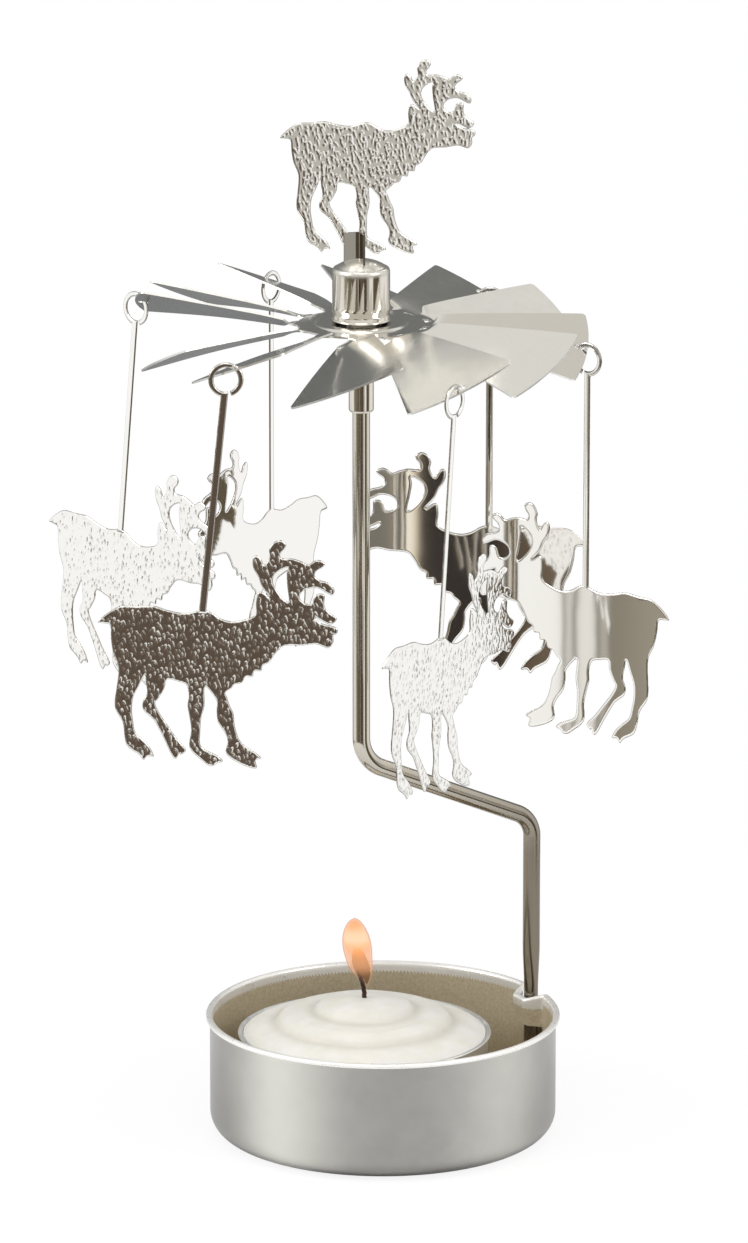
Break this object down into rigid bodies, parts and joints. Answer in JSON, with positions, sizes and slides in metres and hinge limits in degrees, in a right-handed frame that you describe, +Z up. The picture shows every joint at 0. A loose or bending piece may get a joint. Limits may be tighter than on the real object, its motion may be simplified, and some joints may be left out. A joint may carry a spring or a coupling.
{
  "type": "candle carousel",
  "caption": "Rotary tea-light candle carousel: round steel cup, bent tube, spinning vane wheel with hanging flat metal reindeer and a smaller reindeer on top.",
  "frame": {"origin": "centre of the round cup's underside, on the table plane", "axes": "+Z up. +X from the cup's centre to the socket that holds the support tube. +Y completes the right-handed frame"},
  "size_m": [0.0895, 0.0827, 0.1634],
  "materials": {
    "satin_nickel": "satin nickel plate on drawn steel, with a bright lip",
    "bright_nickel": "polished nickel plate",
    "vane_sheet": "polished nickel-plated sheet, 0.3 mm",
    "stamped_sheet": "nickel-plated stamped sheet, fur texture on one side and mirror-smooth on the other",
    "needle_steel": "ground steel",
    "bearing_brass": "turned brass",
    "aluminium_foil": "pressed aluminium foil",
    "white_wax": "white paraffin wax",
    "burnt_wick": "charred cotton",
    "tinned_steel": "tinned sheet"
  },
  "bodies": {
    "stand": {"base_cup": "satin_nickel", "support_tube": "bright_nickel", "pivot_needle": "needle_steel"},
    "candle": {"tealight_cup": "aluminium_foil", "candle_wax": "white_wax", "wick_sustainer": "tinned_steel", "candle_wick": "burnt_wick"},
    "rotor": {"vane_wheel": "vane_sheet", "guide_sleeve": "bright_nickel", "hub_cap": "bright_nickel", "pivot_cup": "bearing_brass", "top_reindeer": "stamped_sheet"},
    "reindeer_1": {"hanging_reindeer_1": "stamped_sheet"},
    "reindeer_2": {"hanging_reindeer_2": "stamped_sheet"},
    "reindeer_3": {"hanging_reindeer_3": "stamped_sheet"},
    "reindeer_4": {"hanging_reindeer_4": "stamped_sheet"},
    "reindeer_5": {"hanging_reindeer_5": "stamped_sheet"},
    "reindeer_6": {"hanging_reindeer_6": "stamped_sheet"}
  },
  "joints": [
    {"name": "candle_lift", "type": "slide", "parent": "stand", "child": "candle", "axis": [0, 0, 1], "range_m": [0, 0.018]},
    {"name": "rotor_spin", "type": "hinge", "parent": "stand", "child": "rotor", "pos_m": [-0.0036, 0, 0.1244], "axis": [0, 0, 1], "continuous": true},
    {"name": "reindeer_1_swing", "type": "hinge", "parent": "rotor", "child": "reindeer_1", "pos_m": [-0.03173, 0.01765, 0.12723], "axis": [-0.3305, 0.9333, -0.1401], "range_deg": [-6, 30]},
    {"name": "reindeer_2_swing", "type": "hinge", "parent": "rotor", "child": "reindeer_2", "pos_m": [-0.00206, 0.033, 0.12451], "axis": [0.8291, 0.4691, -0.3043], "range_deg": [-6, 30]},
    {"name": "reindeer_3_swing", "type": "hinge", "parent": "rotor", "child": "reindeer_3", "pos_m": [0.02574, 0.01516, 0.12274], "axis": [0.8109, -0.4777, -0.338], "range_deg": [-6, 30]},
    {"name": "reindeer_4_swing", "type": "hinge", "parent": "rotor", "child": "reindeer_4", "pos_m": [0.0247, -0.01758, 0.12089], "axis": [0.4239, -0.8501, -0.3125], "range_deg": [-6, 30]},
    {"name": "reindeer_5_swing", "type": "hinge", "parent": "rotor", "child": "reindeer_5", "pos_m": [-0.00514, -0.0328, 0.12078], "axis": [-0.8064, -0.4563, -0.3762], "range_deg": [-6, 30]},
    {"name": "reindeer_6_swing", "type": "hinge", "parent": "rotor", "child": "reindeer_6", "pos_m": [-0.03306, -0.01539, 0.12338], "axis": [-0.8944, 0.3344, -0.297], "range_deg": [-6, 30]}
  ]
}
